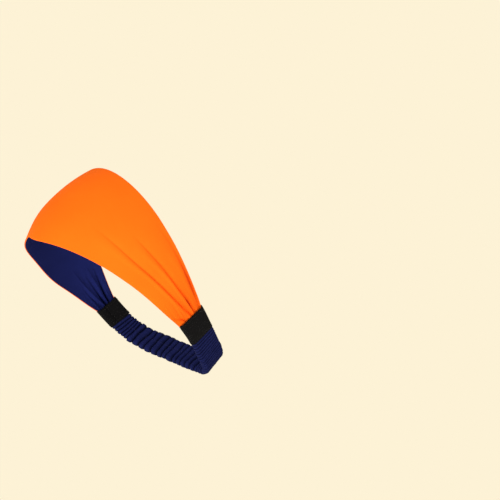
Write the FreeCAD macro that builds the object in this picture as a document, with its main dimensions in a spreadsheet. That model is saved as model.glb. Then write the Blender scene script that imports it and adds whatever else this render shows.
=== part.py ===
import FreeCAD, Part
import math
import os
import Sketcher
from FreeCAD import Placement, Vector

# A stretch headband, open as it is on a head. The loop lies level: Z is the loop's axis, the
# wide panel crosses the forehead on the -Y side and the elastic passes behind the head on the
# +Y side. The origin is the centre of the head opening. Millimetres and degrees.

DRIVING_SIZES = [
    # the loop in plan is a chain of tangent arcs: front, right side, right corner, back,
    # left corner, left side. The radii of the back and of the left side close the chain.
    ("front_radius", 66.3),
    ("right_side_radius", 203.0),
    ("right_corner_radius", 30.5),
    ("left_corner_radius", 50.6),
    ("front_right_angle", 76.9),
    ("right_side_angle", 42.1),
    ("right_corner_angle", 71.5),
    ("left_corner_angle", 59.6),
    ("left_side_angle", 31.0),
    ("front_left_angle", 65.3),
    # the two-layer panel: how far it reaches each way from the front centre, and the half
    # widths that steer its tapering edge from the middle to the tab
    ("panel_reach", 176.5),
    ("half_width_middle", 47.5),
    ("half_width_brow", 47.5),
    ("half_width_temple", 31.0),
    ("half_width_ear", 25.3),
    ("half_width_end", 10.3),
    ("crown_rise", 7.9),
    ("outer_fabric", 1.1),
    ("lining_fabric", 0.8),
    ("layer_gap", 0.16),
    ("lining_inset", 2.2),
    ("seam_width", 1.2),
    ("seam_thickness", 0.6),
    ("seam_clearance", 0.5),
    ("tongue_length", 6.0),
    # webbing tabs, folded flat round the ends of the panel and of the elastic
    ("tab_length", 24.0),
    ("tab_width", 24.0),
    ("tab_thickness", 4.2),
    ("tab_pocket_width", 22.8),
    ("tab_pocket_thickness", 2.7),
    ("tab_edge_round", 0.6),
    # rows of stitches across the tabs
    ("stitch_length", 1.9),
    ("stitch_pitch", 2.5),
    ("stitch_width", 0.45),
    ("stitch_height", 0.3),
    ("stitch_inset", 2.0),
    ("stitch_clearance", 0.03),
    ("stitches_in_row", 9),
    # the elastic and the gathered sleeve over it
    ("elastic_width", 20.6),
    ("elastic_thickness", 1.4),
    ("elastic_end", 7.0),
    ("sleeve_gap", 0.4),
    ("sleeve_width", 23.6),
    ("sleeve_thickness", 5.6),
    ("sleeve_bore_width", 21.4),
    ("sleeve_bore_thickness", 2.2),
    ("sleeve_edge_round", 2.2),
    ("sleeve_seam_width", 1.6),
    ("sleeve_seam_thickness", 0.5),
]

ARC_NAMES = [
    "front_right", "right_side", "right_corner", "back", "left_corner", "left_side", "front_left",
]
RADIUS_CELLS = {
    "front_right": "front_radius",
    "right_side": "right_side_radius",
    "right_corner": "right_corner_radius",
    "left_corner": "left_corner_radius",
    "front_left": "front_radius",
}
PANEL_SECTIONS = 25
CUT_OVERRUN = 1.0       # how far a hollow is drawn past the ends of the strip that it cuts
ROUNDING = 1e-6         # lengths and angles closer than this are the same


def make_sizes(document):
    sheet = document.addObject("Spreadsheet::Sheet", "sizes")
    for row, (alias, value) in enumerate(DRIVING_SIZES, start=1):
        sheet.set(f"A{row}", alias)
        sheet.set(f"B{row}", str(value))
        sheet.setAlias(f"B{row}", alias)
    document.recompute()
    return sheet


doc = FreeCAD.newDocument("headband")
sizes = make_sizes(doc)


def amount(terms):
    """The length that a list of (cell, factor) terms adds up to."""
    return sum(getattr(sizes, cell) * factor for cell, factor in terms)


def formula(terms):
    """The same length as an expression on the spreadsheet."""
    return " + ".join(f"sizes.{cell} * {factor}" for cell, factor in terms)


# The loop in plan.

def closing_radii(turns, radii):
    """Radii of the back and the left side that bring the chain back to its start."""
    heading = 0.0
    known = [0.0, 0.0]
    free = []
    for turn, radius in zip(turns, radii):
        step = (
            math.sin(heading + turn) - math.sin(heading),
            math.cos(heading) - math.cos(heading + turn),
        )
        if radius is None:
            free.append(step)
        else:
            known = [known[0] + radius * step[0], known[1] + radius * step[1]]
        heading += turn
    (back_x, back_y), (side_x, side_y) = free
    scale = back_x * side_y - back_y * side_x
    back = (known[1] * side_x - known[0] * side_y) / scale
    side = (known[0] * back_y - known[1] * back_x) / scale
    return back, side


def loop_arcs():
    """The arcs of the loop, anticlockwise from the front centre, around the origin."""
    back, left_side = ARC_NAMES.index("back"), ARC_NAMES.index("left_side")
    degrees = [getattr(sizes, name + "_angle") if name != "back" else 0.0 for name in ARC_NAMES]
    turns = [math.radians(angle) for angle in degrees]
    turns[back] = 2 * math.pi - sum(turns)
    cells = [RADIUS_CELLS.get(name) for name in ARC_NAMES]
    radii = [getattr(sizes, cell) if cell else None for cell in cells]
    radii[back], radii[left_side] = closing_radii(turns, radii)
    arcs = []
    point, heading, travelled = Vector(), 0.0, 0.0
    for name, turn, radius in zip(ARC_NAMES, turns, radii):
        centre = point + Vector(-math.sin(heading), math.cos(heading)) * radius
        arcs.append({
            "name": name, "radius": radius, "centre": centre,
            "heading": heading, "start": travelled,
        })
        heading += turn
        travelled += radius * turn
        arcs[-1]["end"] = travelled
        point = centre + Vector(math.sin(heading), -math.cos(heading)) * radius
    shift = loop_middle(arcs)
    for arc in arcs:
        arc["centre"] -= shift
    return arcs


def loop_middle(arcs):
    """The middle of the loop's box: a quarter turn in heading apart, it is widest or longest."""
    reach = []
    for quarter in range(4):
        heading = quarter * math.pi / 2
        arc = [a for a in arcs if a["heading"] <= heading + ROUNDING][-1]
        reach.append(arc["centre"] + Vector(math.sin(heading), -math.cos(heading)) * arc["radius"])
    return Vector((reach[1].x + reach[3].x) / 2, (reach[0].y + reach[2].y) / 2)


arcs = loop_arcs()
loop_length = arcs[-1]["end"]


def loop_station(distance):
    """Point on the loop and outward direction, a distance to the right of the front centre."""
    travelled = distance % loop_length
    arc = [a for a in arcs if a["start"] <= travelled][-1]
    heading = arc["heading"] + (travelled - arc["start"]) / arc["radius"]
    outward = Vector(math.sin(heading), -math.cos(heading))
    return arc["centre"] + outward * arc["radius"], outward


# The panel: two crowned layers, each a loft through upright sections, joined at their edges.

def half_width(distance):
    """Half width of the panel: a smooth curve steered by five widths."""
    along = min(abs(distance) / sizes.panel_reach, 1.0)
    steer = [
        sizes.half_width_middle, sizes.half_width_brow, sizes.half_width_temple,
        sizes.half_width_ear, sizes.half_width_end,
    ]
    degree = len(steer) - 1
    return sum(
        math.comb(degree, i) * along ** i * (1 - along) ** (degree - i) * width
        for i, width in enumerate(steer)
    )


def crown(distance, height):
    """How far the panel bulges out from the loop at a height."""
    along = min(abs(distance) / sizes.panel_reach, 1.0)
    across = height / half_width(distance)
    return sizes.crown_rise * (1 - along ** 2) * (1 - across ** 2)


def panel_point(distance, height, offset):
    foot, outward = loop_station(distance)
    return foot + outward * (offset + crown(distance, height)) + Vector(0, 0, height)


def parabola(start, middle, end):
    """The parabola through three points, with the middle one half way along."""
    curve = Part.BezierCurve()
    curve.setPoles([start, middle * 2 - (start + end) / 2, end])
    return curve.toShape()


def layer_section(distance, inner, outer, inset):
    """Closed section of one layer, between two offsets from the plane of the seam."""
    top = half_width(distance) - inset
    places = [(outer, -top), (outer, 0), (outer, top), (inner, top), (inner, 0), (inner, -top)]
    corners = [panel_point(distance, height, offset) for offset, height in places]
    face = parabola(*corners[:3])
    upper_edge = Part.LineSegment(corners[2], corners[3]).toShape()
    back = parabola(*corners[3:])
    lower_edge = Part.LineSegment(corners[5], corners[0]).toShape()
    return Part.Wire([face, upper_edge, back, lower_edge])


def stations(reach):
    return [reach * (2 * i / (PANEL_SECTIONS - 1) - 1) for i in range(PANEL_SECTIONS)]


def add_feature(name, shape):
    feature = doc.addObject("Part::Feature", name)
    feature.Label = name
    feature.Shape = shape
    feature.Placement = Placement()
    return feature


def panel_layer(name, inner, outer, inset):
    reach = sizes.panel_reach + sizes.tongue_length
    sections = [layer_section(distance, inner, outer, inset) for distance in stations(reach)]
    return add_feature(name, Part.makeLoft(sections, True, False))


def band_solid(lines):
    """A long band of four sides, from the four lines of points along its corners."""
    edges = []
    for points in lines:
        curve = Part.BSplineCurve()
        curve.interpolate(points)
        edges.append(curve.toShape())
    pairs = zip(edges, edges[1:] + edges[:1])
    faces = [Part.makeRuledSurface(edge, following) for edge, following in pairs]
    for end in (0, -1):
        corners = [points[end] for points in lines]
        faces.append(Part.Face(Part.makePolygon(corners + corners[:1])))
    shell = Part.makeShell(faces)
    shell.sewShape()
    return Part.makeSolid(shell)


def edge_seam(name, side):
    """Flat band of overlock thread along the lining's edge, under the outer fabric."""
    outer = -sizes.layer_gap / 2
    inner = outer - sizes.seam_thickness
    near = sizes.seam_clearance - sizes.lining_inset
    far = near + sizes.seam_width
    reach = sizes.panel_reach - sizes.seam_width
    lines = []
    for inset, offset in ((near, inner), (far, inner), (far, outer), (near, outer)):
        lines.append([
            panel_point(distance, side * (half_width(distance) + inset), offset)
            for distance in stations(reach)
        ])
    return add_feature(name, band_solid(lines))


# Flat strips along the loop: tabs, elastic, sleeve and thread.

def new_body(name):
    body = doc.addObject("PartDesign::Body", name)
    body.Label = name
    return body


def plane_of(body, role):
    return [plane for plane in body.Origin.OriginFeatures if plane.Role == role][0]


def arcs_between(start, end):
    """The loop's arcs cut to a stretch: (name, centre, radius, first angle, last angle)."""
    pieces = []
    for arc in arcs:
        first, last = max(start, arc["start"]), min(end, arc["end"])
        if last - first < ROUNDING:
            continue
        before = arc["heading"] - math.pi / 2
        angles = [before + (s - arc["start"]) / arc["radius"] for s in (first, last)]
        pieces.append((arc["name"], arc["centre"], arc["radius"], angles[0], angles[1]))
    return pieces


def draw_chain(sketch, pieces, offset):
    """One side of a strip as tangent arcs, with the radii that the spreadsheet holds."""
    chain = []
    for name, centre, radius, first, last in pieces:
        circle = Part.Circle(centre, Vector(0, 0, 1), radius + amount(offset))
        index = sketch.addGeometry(Part.ArcOfCircle(circle, first, last), False)
        if chain:
            sketch.addConstraint(Sketcher.Constraint("Tangent", chain[-1], 2, index, 1))
        if name in RADIUS_CELLS:
            row = sketch.addConstraint(Sketcher.Constraint("Radius", index, circle.Radius))
            terms = [(RADIUS_CELLS[name], 1)] + offset
            sketch.setExpression(f"Constraints[{row}]", formula(terms))
        chain.append(index)
    return chain


def strip_sketch(body, name, start, end, inner, outer):
    """Plan outline of a strip from start to end along the loop, between two offsets."""
    sketch = body.newObject("Sketcher::SketchObject", name)
    sketch.AttachmentSupport = [(plane_of(body, "XY_Plane"), "")]
    sketch.MapMode = "FlatFace"
    pieces = arcs_between(start, end)
    inside = draw_chain(sketch, pieces, inner)
    outside = draw_chain(sketch, pieces, outer)
    for near, far, vertex in ((inside[0], outside[0], 1), (inside[-1], outside[-1], 2)):
        ends = [sketch.getPoint(near, vertex), sketch.getPoint(far, vertex)]
        line = sketch.addGeometry(Part.LineSegment(ends[0], ends[1]), False)
        sketch.addConstraint(Sketcher.Constraint("Coincident", line, 1, near, vertex))
        sketch.addConstraint(Sketcher.Constraint("Coincident", line, 2, far, vertex))
    return sketch


def add_pad(body, sketch, width_cell):
    pad = body.newObject("PartDesign::Pad", sketch.Name + "_pad")
    pad.Profile = sketch
    pad.SideType = "Symmetric"
    pad.setExpression("Length", f"sizes.{width_cell}")
    doc.recompute()
    return pad


def add_pocket(body, sketch, width_cell):
    before = body.Shape.Volume
    pocket = body.newObject("PartDesign::Pocket", sketch.Name + "_pocket")
    pocket.Profile = sketch
    pocket.SideType = "Symmetric"
    pocket.setExpression("Length", f"sizes.{width_cell}")
    doc.recompute()
    if body.Shape.Volume >= before:
        raise RuntimeError(f"{pocket.Name} removes nothing")
    return pocket


def round_rims(body, base, height, radius_cell):
    """Rounds the long edges at the top and the bottom of a strip."""
    rims = []
    for number, edge in enumerate(base.Shape.Edges, start=1):
        at_rim = all(abs(abs(vertex.Z) - height / 2) < ROUNDING for vertex in edge.Vertexes)
        if at_rim and isinstance(edge.Curve, Part.Circle):
            rims.append(f"Edge{number}")
    fillet = body.newObject("PartDesign::Fillet", base.Name + "_round")
    fillet.Base = (base, rims)
    fillet.setExpression("Radius", f"sizes.{radius_cell}")
    doc.recompute()
    return fillet


def both_halves(cell):
    return [(cell, -0.5)], [(cell, 0.5)]


def tab_stretch(side):
    """Where a tab starts and ends along the loop, for the right (1) or the left (-1) side."""
    near = sizes.panel_reach
    far = near + sizes.tab_length
    return (near, far) if side > 0 else (loop_length - far, loop_length - near)


def end_tab(name, side):
    start, end = tab_stretch(side)
    body = new_body(name)
    faces = both_halves("tab_thickness")
    pad = add_pad(body, strip_sketch(body, name + "_outline", start, end, *faces), "tab_width")
    round_rims(body, pad, sizes.tab_width, "tab_edge_round")
    faces = both_halves("tab_pocket_thickness")
    start, end = start - CUT_OVERRUN, end + CUT_OVERRUN
    add_pocket(body, strip_sketch(body, name + "_hollow", start, end, *faces), "tab_pocket_width")
    return body


def tab_stitches(name, middle):
    body = new_body(name)
    start, end = middle - sizes.stitch_width / 2, middle + sizes.stitch_width / 2
    face = [("tab_thickness", 0.5), ("stitch_clearance", 1)]
    crest = face + [("stitch_height", 1)]
    pads = []
    for label, near, far in (("outer", face, crest), ("inner", mirrored(crest), mirrored(face))):
        outline = strip_sketch(body, f"{name}_{label}", start, end, near, far)
        outline.setExpression(
            "AttachmentOffset.Base.z", "-(sizes.stitches_in_row - 1) * sizes.stitch_pitch / 2"
        )
        pads.append(add_pad(body, outline, "stitch_length"))
    row = body.newObject("PartDesign::LinearPattern", name + "_row")
    row.Originals = pads
    row.Direction = (plane_of(body, "Z_Axis"), [""])
    row.setExpression("Length", "(sizes.stitches_in_row - 1) * sizes.stitch_pitch")
    row.setExpression("Occurrences", "sizes.stitches_in_row")
    body.Tip = row
    doc.recompute()
    return body


def mirrored(terms):
    return [(cell, -factor) for cell, factor in terms]


def elastic_core():
    body = new_body("elastic_core")
    start = sizes.panel_reach + sizes.tab_length - sizes.elastic_end
    faces = both_halves("elastic_thickness")
    outline = strip_sketch(body, "elastic_outline", start, loop_length - start, *faces)
    add_pad(body, outline, "elastic_width")
    return body


def ruched_sleeve():
    body = new_body("ruched_sleeve")
    start = sizes.panel_reach + sizes.tab_length + sizes.sleeve_gap
    end = loop_length - start
    faces = both_halves("sleeve_thickness")
    pad = add_pad(body, strip_sketch(body, "sleeve_outline", start, end, *faces), "sleeve_width")
    round_rims(body, pad, sizes.sleeve_width, "sleeve_edge_round")
    faces = both_halves("sleeve_bore_thickness")
    start, end = start - CUT_OVERRUN, end + CUT_OVERRUN
    add_pocket(body, strip_sketch(body, "sleeve_bore", start, end, *faces), "sleeve_bore_width")
    return body


def sleeve_seam():
    """The seam that closes the sleeve into a tube, along its inner face."""
    body = new_body("sleeve_seam")
    start = sizes.panel_reach + sizes.tab_length + sizes.sleeve_gap + sizes.sleeve_seam_width
    face = [("sleeve_thickness", -0.5), ("stitch_clearance", -1)]
    crest = face + [("sleeve_seam_thickness", -1)]
    outline = strip_sketch(body, "sleeve_seam_outline", start, loop_length - start, crest, face)
    add_pad(body, outline, "sleeve_seam_width")
    return body


def build():
    half_gap = sizes.layer_gap / 2
    nodes = [
        panel_layer("outer_panel", half_gap, half_gap + sizes.outer_fabric, 0.0),
        panel_layer(
            "inner_lining", -half_gap - sizes.lining_fabric, -half_gap, sizes.lining_inset
        ),
        edge_seam("upper_edge_seam", 1),
        edge_seam("lower_edge_seam", -1),
    ]
    for side_name, side in (("right", 1), ("left", -1)):
        nodes.append(end_tab(side_name + "_end_tab", side))
        front = sizes.panel_reach + sizes.stitch_inset
        rear = sizes.panel_reach + sizes.tab_length - sizes.stitch_inset
        for row_name, distance in (("front", front), ("rear", rear)):
            middle = distance if side > 0 else loop_length - distance
            nodes.append(tab_stitches(f"{side_name}_tab_{row_name}_stitches", middle))
    nodes += [elastic_core(), ruched_sleeve(), sleeve_seam()]
    return nodes


def check(nodes):
    doc.recompute()
    for item in doc.Objects:
        if "Invalid" in item.State or "Error" in item.State:
            raise RuntimeError(f"{item.Label} failed: {item.State}")
    for node in nodes:
        if node.Shape.isNull() or not node.Shape.isValid() or node.Shape.Volume <= 0:
            raise RuntimeError(f"{node.Label} has no valid shape")


def export(nodes):
    os.makedirs("parts", exist_ok=True)
    for node in nodes:
        node.Shape.exportStep(f"parts/{node.Label}.step")
        box = node.Shape.BoundBox
        print(f"{node.Label}: {box.XLength:.1f} x {box.YLength:.1f} x {box.ZLength:.1f} mm, "
              f"{len(node.Shape.Solids)} solids, {node.Shape.Volume:.0f} mm3")


nodes = build()
check(nodes)
export(nodes)
print(f"loop length {loop_length:.1f} mm")
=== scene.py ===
import math
import random

import bpy
from mathutils import Matrix, Vector


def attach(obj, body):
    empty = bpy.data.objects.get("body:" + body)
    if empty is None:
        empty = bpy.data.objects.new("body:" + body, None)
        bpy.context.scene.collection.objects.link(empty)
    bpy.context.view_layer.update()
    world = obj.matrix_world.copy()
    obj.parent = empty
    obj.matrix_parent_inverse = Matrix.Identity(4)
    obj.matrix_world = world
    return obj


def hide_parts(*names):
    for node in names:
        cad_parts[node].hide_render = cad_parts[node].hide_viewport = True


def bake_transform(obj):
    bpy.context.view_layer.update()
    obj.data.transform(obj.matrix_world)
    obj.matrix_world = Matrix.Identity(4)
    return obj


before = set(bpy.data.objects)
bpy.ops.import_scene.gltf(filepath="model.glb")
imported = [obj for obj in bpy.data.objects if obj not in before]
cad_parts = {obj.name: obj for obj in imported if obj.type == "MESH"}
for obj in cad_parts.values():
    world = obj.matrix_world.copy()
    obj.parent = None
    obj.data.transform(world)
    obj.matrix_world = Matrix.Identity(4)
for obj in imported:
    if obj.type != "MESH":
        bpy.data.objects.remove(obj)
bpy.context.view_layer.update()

# Stretch headband: a two-layer knit panel, two webbing tabs and a ruched elastic at the back.
# Metres. s runs along the loop, to the right of the front centre; v is -1 to 1 up the panel.

mm = 0.001
print("headband: frame loaded")

# the loop in plan, a chain of tangent arcs anticlockwise from the front centre

loopSizes = {
    "turns": (76.9, 42.1, 71.5, None, 59.6, 31.0, 65.3),        # degrees; None takes what is left
    "radii": (66.3, 203.0, 30.5, None, 50.6, None, 66.3),       # mm; None closes the chain
    # mm: drop by the right tab, at the back and by the left tab, and where along s it starts and ends
    "sags": ((2.0, 105, 165, 215, 262), (-1.5, 245, 275, 320, 360), (1.4, 340, 380, 410, 455)),
}


def smooth(t):
    t = min(max(t, 0.0), 1.0)
    return t * t * (3 - 2 * t)


def makeLoop():
    turns = list(loopSizes["turns"])
    turns[turns.index(None)] = 360 - sum(t for t in turns if t)
    turns = [math.radians(t) for t in turns]
    radii = [r and r * mm for r in loopSizes["radii"]]
    headings = [sum(turns[:i]) for i in range(len(turns))]
    steps = [(math.sin(h + t) - math.sin(h), math.cos(h) - math.cos(h + t))
             for h, t in zip(headings, turns)]
    knownX = sum(r * step[0] for r, step in zip(radii, steps) if r)
    knownY = sum(r * step[1] for r, step in zip(radii, steps) if r)
    (backX, backY), (sideX, sideY) = [step for r, step in zip(radii, steps) if not r]
    scale = backX * sideY - backY * sideX
    closing = [(knownY * sideX - knownX * sideY) / scale, (knownX * backY - knownY * backX) / scale]
    radii = [r or closing.pop(0) for r in radii]
    arcs = []
    point = Vector((0, 0, 0))
    travelled = 0.0
    for heading, turn, radius in zip(headings, turns, radii):
        centre = point + Vector((-math.sin(heading), math.cos(heading), 0)) * radius
        arcs.append({"heading": heading, "radius": radius, "centre": centre, "start": travelled})
        travelled += radius * turn
        point = centre + Vector((math.sin(heading + turn), -math.cos(heading + turn), 0)) * radius
    reach = []
    for quarter in range(4):
        heading = quarter * math.pi / 2
        arc = [a for a in arcs if a["heading"] <= heading + 1e-9][-1]
        reach.append(arc["centre"] + outwardAt(heading) * arc["radius"])
    middle = Vector(((reach[1].x + reach[3].x) / 2, (reach[0].y + reach[2].y) / 2, 0))
    for arc in arcs:
        arc["centre"] -= middle
    return arcs, travelled


def outwardAt(heading):
    return Vector((math.sin(heading), -math.cos(heading), 0))


loopArcs, loopLength = makeLoop()


def loopStation(s):
    travelled = s % loopLength
    arc = [a for a in loopArcs if a["start"] <= travelled][-1]
    outward = outwardAt(arc["heading"] + (travelled - arc["start"]) / arc["radius"])
    sag = 0.0
    for dip in loopSizes["sags"]:
        drop, starts, full, ends, level = [value * mm for value in dip]
        sinking = smooth((travelled - starts) / (full - starts))
        sag += drop * sinking * smooth((level - travelled) / (level - ends))
    return arc["centre"] + outward * arc["radius"] - Vector((0, 0, sag)), outward


# node helpers

def addNode(tree, kind, place, **settings):
    node = tree.nodes.new(kind)
    node.location = (place[0] * 190, -place[1] * 170)
    for name, value in settings.items():
        setattr(node, name, value)
    return node


def feed(tree, socket, value):
    if isinstance(value, bpy.types.NodeSocket):
        tree.links.new(value, socket)
    else:
        socket.default_value = value


def mixColors(tree, place, amount, first, second):
    node = addNode(tree, "ShaderNodeMix", place, data_type="RGBA")
    sockets = {socket.identifier: socket for socket in node.inputs}
    feed(tree, sockets["Factor_Float"], amount)
    feed(tree, sockets["A_Color"], first)
    feed(tree, sockets["B_Color"], second)
    return [socket for socket in node.outputs if socket.identifier == "Result_Color"][0]


def mathNode(tree, operation, place, *values):
    node = addNode(tree, "ShaderNodeMath", place, operation=operation)
    for socket, value in zip(node.inputs, values):
        feed(tree, socket, value)
    return node.outputs[0]


def noiseNode(tree, place, vector, scale, detail=2.0, **settings):
    noise = addNode(tree, "ShaderNodeTexNoise", place, **settings)
    feed(tree, noise.inputs["Vector"], vector)
    feed(tree, noise.inputs["Scale"], scale)
    noise.inputs["Detail"].default_value = detail
    return noise


def splitVector(tree, place, vector):
    parts = addNode(tree, "ShaderNodeSeparateXYZ", place)
    feed(tree, parts.inputs[0], vector)
    return parts.outputs


def newGroup(name, kind, inputs, outputs):
    # an input is given as its socket type, or as a number that is its default value
    tree = bpy.data.node_groups.new(name, kind)
    numbers = {float: "Float", int: "Int"}
    for label, value in inputs.items():
        isType = isinstance(value, str)
        socketType = "NodeSocket" + (value if isType else numbers[type(value)])
        socket = tree.interface.new_socket(name=label, in_out="INPUT", socket_type=socketType)
        if not isType:
            socket.default_value = value
    for label, value in outputs.items():
        tree.interface.new_socket(name=label, in_out="OUTPUT", socket_type="NodeSocket" + value)
    return tree, addNode(tree, "NodeGroupInput", (-6, 0)), addNode(tree, "NodeGroupOutput", (8, 0))


# shader groups that several finishes share

clothOutputs = {"Color": "Color", "Roughness": "Float", "Height": "Float"}


def makeKnitGroup():
    tree, source, result = newGroup("knitLoops", "ShaderNodeTree", {
        "Vector": "Vector", "Wale Width": 0.0007, "Course Height": 0.0005, "Color": "Color",
        "Mottle And Hollow Shade Color": "Color", "Mottle Size": 0.03, "Mottle Amount": 0.3, "Loop Hollow Shade": 0.25,
        "Painted Shade": 0.0, "Painted Shade Color": "Color",
    }, clothOutputs)
    given = source.outputs
    course, wale = splitVector(tree, (-5, 0), given["Vector"])[:2]
    waves = mathNode(tree, "DIVIDE", (-4, 0), wale, given["Wale Width"])
    rows = mathNode(tree, "DIVIDE", (-4, 1), course, given["Course Height"])
    inWale = mathNode(tree, "PINGPONG", (-3, 0), waves, 0.5)
    inCourse = mathNode(tree, "PINGPONG", (-1, 1), mathNode(tree, "ADD", (-2, 1), rows, inWale), 0.5)
    groove = mathNode(tree, "POWER", (-2, 0), mathNode(tree, "MULTIPLY", (-3, -1), inWale, 2.0), 3.0)
    body = mathNode(tree, "SUBTRACT", (-1, 0), 1.0, groove)
    rowHeight = mathNode(tree, "MULTIPLY", (0, 1), inCourse, 0.8)
    height = mathNode(tree, "MULTIPLY_ADD", (0, 0), body, 0.6, rowHeight)
    mottleScale = mathNode(tree, "DIVIDE", (-4, 3), 1.0, given["Mottle Size"])
    mottle = noiseNode(tree, (-3, 3), given["Vector"], mottleScale, 3.0).outputs["Fac"]
    soft = addNode(tree, "ShaderNodeMapRange", (-2, 3))
    feed(tree, soft.inputs["Value"], mottle)
    soft.inputs["From Min"].default_value = 0.3
    soft.inputs["From Max"].default_value = 0.75
    shade = mathNode(tree, "MULTIPLY", (-1, 3), soft.outputs[0], given["Mottle Amount"])
    # painted shade: the hollows between the knit loops are darkened toward the deep colour; the mottle is
    # the yarn's own uneven tone
    hollow = mathNode(tree, "SUBTRACT", (1, 0), 1.0, height)
    loopShade = mathNode(tree, "MULTIPLY", (1, 1), hollow, given["Loop Hollow Shade"])
    total = mathNode(tree, "ADD", (2, 2), shade, loopShade)
    total.node.use_clamp = True
    cloth = mixColors(tree, (4, 2), total, given["Color"], given["Mottle And Hollow Shade Color"])
    # painted shade: folds, gathers and pleat valleys are darkened toward the fold's painted shade colour
    withPaintedShade = mixColors(tree, (6, 2), given["Painted Shade"], cloth, given["Painted Shade Color"])
    feed(tree, result.inputs["Color"], withPaintedShade)
    feed(tree, result.inputs["Roughness"], mathNode(tree, "MULTIPLY_ADD", (4, 4), mottle, 0.12, 0.76))
    feed(tree, result.inputs["Height"], height)
    return tree


def makeRibGroup():
    tree, source, result = newGroup("wovenRibs", "ShaderNodeTree", {
        "Vector": "Vector", "Rib Pitch": 0.0012, "Pick Pitch": 0.0006, "Color": "Color",
        "Fuzz And Crest Highlight Color": "Color",
    }, clothOutputs)
    given = source.outputs
    across, along = splitVector(tree, (-5, 0), given["Vector"])[:2]
    ribs = mathNode(tree, "DIVIDE", (-4, 0), across, given["Rib Pitch"])
    picks = mathNode(tree, "DIVIDE", (-4, 1), along, given["Pick Pitch"])
    ribWave = mathNode(tree, "PINGPONG", (-3, 0), ribs, 0.5)
    pickWave = mathNode(tree, "PINGPONG", (-2, 1), mathNode(tree, "ADD", (-3, 1), picks, ribWave), 0.5)
    pickHeight = mathNode(tree, "MULTIPLY", (-1, 1), pickWave, 0.6)
    height = mathNode(tree, "MULTIPLY_ADD", (-1, 0), ribWave, 1.4, pickHeight)
    fuzz = noiseNode(tree, (-3, 4), given["Vector"], 900.0).outputs["Fac"]
    # painted highlight: the ribs' crests lightened toward the crest colour, broken up by the fibres' own
    # fuzz
    fuzzAndCrestHighlight = mathNode(tree, "MULTIPLY", (1, 1), height, fuzz)
    fuzzAndCrestHighlight.node.use_clamp = True
    woven = mixColors(tree, (3, 1), fuzzAndCrestHighlight, given["Color"], given["Fuzz And Crest Highlight Color"])
    feed(tree, result.inputs["Color"], woven)
    feed(tree, result.inputs["Roughness"], mathNode(tree, "MULTIPLY_ADD", (3, 3), fuzz, 0.2, 0.68))
    feed(tree, result.inputs["Height"], height)
    return tree


def makeTwistGroup():
    tree, source, result = newGroup("threadTwist", "ShaderNodeTree", {
        "Vector": "Vector", "Ply Pitch": 0.0006, "Color": "Color", "Groove Shade Color": "Color",
    }, {"Color": "Color", "Height": "Float"})
    given = source.outputs
    x, y, z = splitVector(tree, (-5, 0), given["Vector"])
    along = mathNode(tree, "ADD", (-3, 0), mathNode(tree, "ADD", (-4, 0), x, y), z)
    plies = mathNode(tree, "DIVIDE", (-2, 0), along, given["Ply Pitch"])
    height = mathNode(tree, "MULTIPLY", (0, 0), mathNode(tree, "PINGPONG", (-1, 0), plies, 0.5), 2.0)
    # painted shade: the grooves between the plies darkened toward the groove colour
    feed(tree, result.inputs["Color"],
         mixColors(tree, (3, 1), height, given["Groove Shade Color"], given["Color"]))
    feed(tree, result.inputs["Height"], height)
    return tree


knitGroup = makeKnitGroup()
ribGroup = makeRibGroup()
twistGroup = makeTwistGroup()

# finishes: what their group takes, and the shader's own values

# each finish's colours: its own, the mottle darkened with painted shade in the knit's hollows, and the
# painted shade of folds, gathers and pleat valleys
knitFinish = {
    "orangeKnit": {
        "Color": (0.98, 0.161, 0.0075, 1), "Mottle And Hollow Shade Color": (0.96, 0.118, 0.0055, 1),
        "Painted Shade Color": (0.60, 0.018, 0.0018, 1), "Wale Width": 0.00075, "Course Height": 0.00055,
        "Mottle Size": 0.04, "Mottle Amount": 0.25, "Loop Hollow Shade": 0.14,
    },
    "navyLining": {
        "Color": (0.0108, 0.0160, 0.118, 1), "Mottle And Hollow Shade Color": (0.0068, 0.0098, 0.072, 1),
        "Painted Shade Color": (0.001, 0.0013, 0.01, 1), "Wale Width": 0.00075, "Course Height": 0.00055,
        "Mottle Size": 0.03, "Mottle Amount": 0.35, "Loop Hollow Shade": 0.22,
    },
    "navySleeve": {
        "Color": (0.0095, 0.0132, 0.082, 1), "Mottle And Hollow Shade Color": (0.0042, 0.006, 0.040, 1),
        "Painted Shade Color": (0.0006, 0.0008, 0.004, 1), "Wale Width": 0.00065, "Course Height": 0.0005,
        "Mottle Size": 0.012, "Mottle Amount": 0.3, "Loop Hollow Shade": 0.25,
    },
}
ribFinish = {
    "blackWebbing": {
        "Color": (0.0036, 0.0037, 0.0045, 1), "Fuzz And Crest Highlight Color": (0.0080, 0.0079, 0.0096, 1),
        "Rib Pitch": 0.0013, "Pick Pitch": 0.0006,
    },
    "darkElastic": {
        "Color": (0.03, 0.03, 0.036, 1), "Fuzz And Crest Highlight Color": (0.075, 0.075, 0.085, 1),
        "Rib Pitch": 0.0008, "Pick Pitch": 0.0014,
    },
}
threadFinish = {
    "navyThread": {
        "Color": (0.014, 0.016, 0.095, 1), "Groove Shade Color": (0.004, 0.005, 0.04, 1), "Ply Pitch": 0.0005,
    },
    "blackThread": {
        "Color": (0.018, 0.016, 0.017, 1), "Groove Shade Color": (0.005, 0.004, 0.005, 1), "Ply Pitch": 0.0005,
    },
}
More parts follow.
